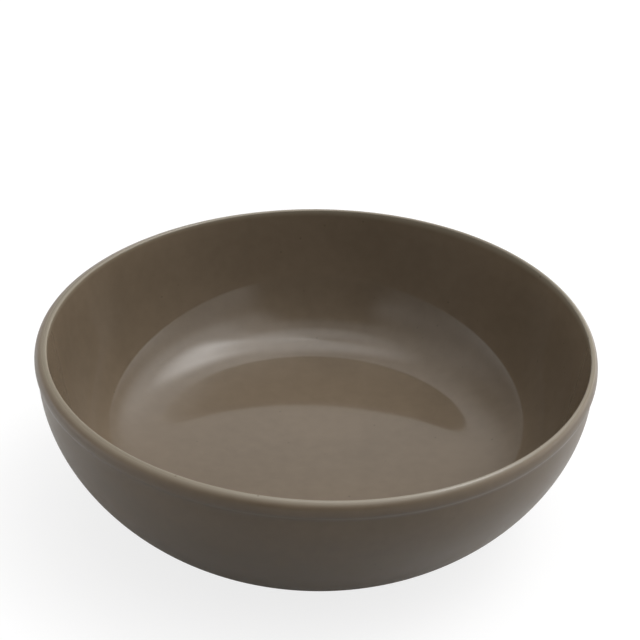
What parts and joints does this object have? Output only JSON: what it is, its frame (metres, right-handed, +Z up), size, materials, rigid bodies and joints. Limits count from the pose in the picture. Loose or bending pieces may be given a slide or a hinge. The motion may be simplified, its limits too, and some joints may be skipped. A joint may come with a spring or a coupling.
{
  "type": "salad bowl",
  "caption": "Round glazed stoneware salad bowl with a rolled lip, a steep wall, a dished floor and a low bare foot ring that it stands on.",
  "frame": {"origin": "middle of the foot ring's rest face, on the surface that the bowl stands on", "axes": "+Z up along the bowl's axis; the bowl is round, so +X and +Y are free, and the picture looks along +Y"},
  "size_m": [0.25, 0.25, 0.084],
  "materials": {
    "fired_clay": "bare fired stoneware",
    "gloss_glaze": "gloss taupe glaze",
    "satin_glaze": "satin taupe glaze",
    "well_glaze": "satin taupe glaze"
  },
  "bodies": {
    "root": {"clay_body": "fired_clay", "lining_glaze": "gloss_glaze", "outer_glaze": "satin_glaze", "foot_well_glaze": "well_glaze"}
  },
  "joints": []
}
